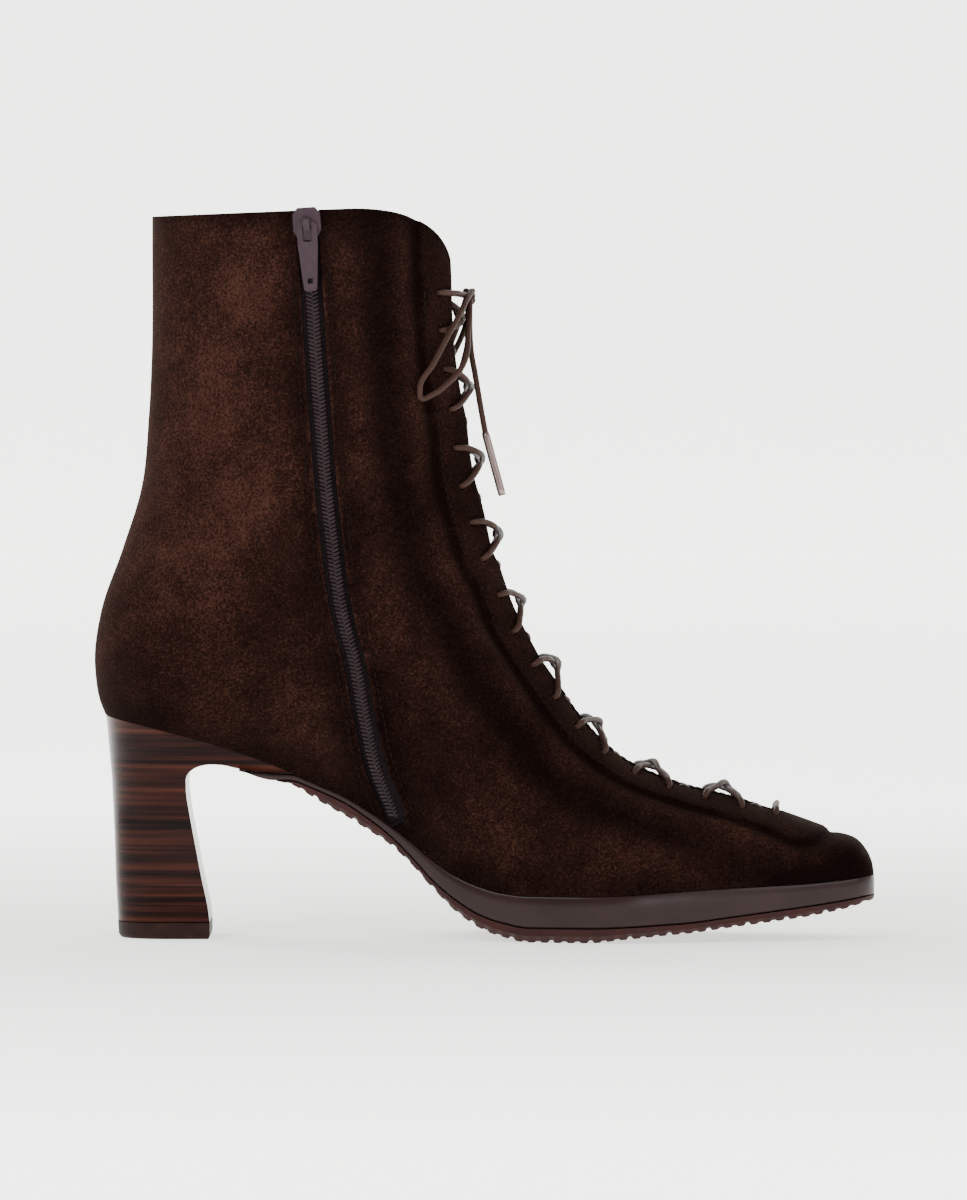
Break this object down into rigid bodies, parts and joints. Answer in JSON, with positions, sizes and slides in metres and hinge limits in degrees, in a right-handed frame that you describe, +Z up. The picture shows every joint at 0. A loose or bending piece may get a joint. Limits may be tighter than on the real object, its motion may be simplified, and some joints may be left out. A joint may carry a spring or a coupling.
{
  "type": "ankle boot",
  "caption": "Lace-up ankle boot with a squared toe, thin platform, stacked block heel, medial zip and a bow at the top of the lacing.",
  "frame": {"origin": "on the floor below the middle of the boot's length, on the middle line of its sole", "axes": "+X from the heel to the toe, +Y towards the lateral side, +Z up"},
  "size_m": [0.2498, 0.0887, 0.2337],
  "materials": {
    "suede": "dark brown suede",
    "lining": "tan lining leather",
    "platform_gloss": "glossy dark brown",
    "rubber": "reddish brown rubber",
    "heel_stack": "semi-gloss stacked layers",
    "heel_lift": "matte dark rubber",
    "waxed_lace": "waxed round cord",
    "aglet_metal": "warm metal",
    "zip_cloth": "dark zip tape and coil",
    "zip_metal": "dark purple-brown metal"
  },
  "bodies": {
    "boot": {"aglet_lateral": "aglet_metal", "aglet_medial": "aglet_metal", "heel": "heel_stack", "heel_lift": "heel_lift", "insole": "lining", "lace_bar_bottom": "waxed_lace", "lace_bar_top": "waxed_lace", "lace_end_lateral": "waxed_lace", "lace_end_medial": "waxed_lace", "lace_knot": "waxed_lace", "lace_loop_lateral": "waxed_lace", "lace_loop_medial": "waxed_lace", "lace_over_1": "waxed_lace", "lace_over_2": "waxed_lace", "lace_over_3": "waxed_lace", "lace_over_4": "waxed_lace", "lace_over_5": "waxed_lace", "lace_over_6": "waxed_lace", "lace_over_7": "waxed_lace", "lace_over_8": "waxed_lace", "lace_over_top": "waxed_lace", "lace_under_1": "waxed_lace", "lace_under_2": "waxed_lace", "lace_under_3": "waxed_lace", "lace_under_4": "waxed_lace", "lace_under_5": "waxed_lace", "lace_under_6": "waxed_lace", "lace_under_7": "waxed_lace", "lace_under_8": "waxed_lace", "lace_under_9": "waxed_lace", "outsole": "rubber", "platform": "platform_gloss", "tongue": "suede", "upper": "suede", "zip_coil": "zip_cloth", "zip_slider": "zip_metal", "zip_tape": "zip_cloth"},
    "pull": {"zip_pull": "zip_metal"}
  },
  "joints": [
    {"name": "zip_pull_hinge", "type": "hinge", "parent": "boot", "child": "pull", "pos_m": [-0.05616, -0.0336, 0.22834], "axis": [-0.9961, 0.0575, -0.0668], "range_deg": [0, 150]}
  ]
}
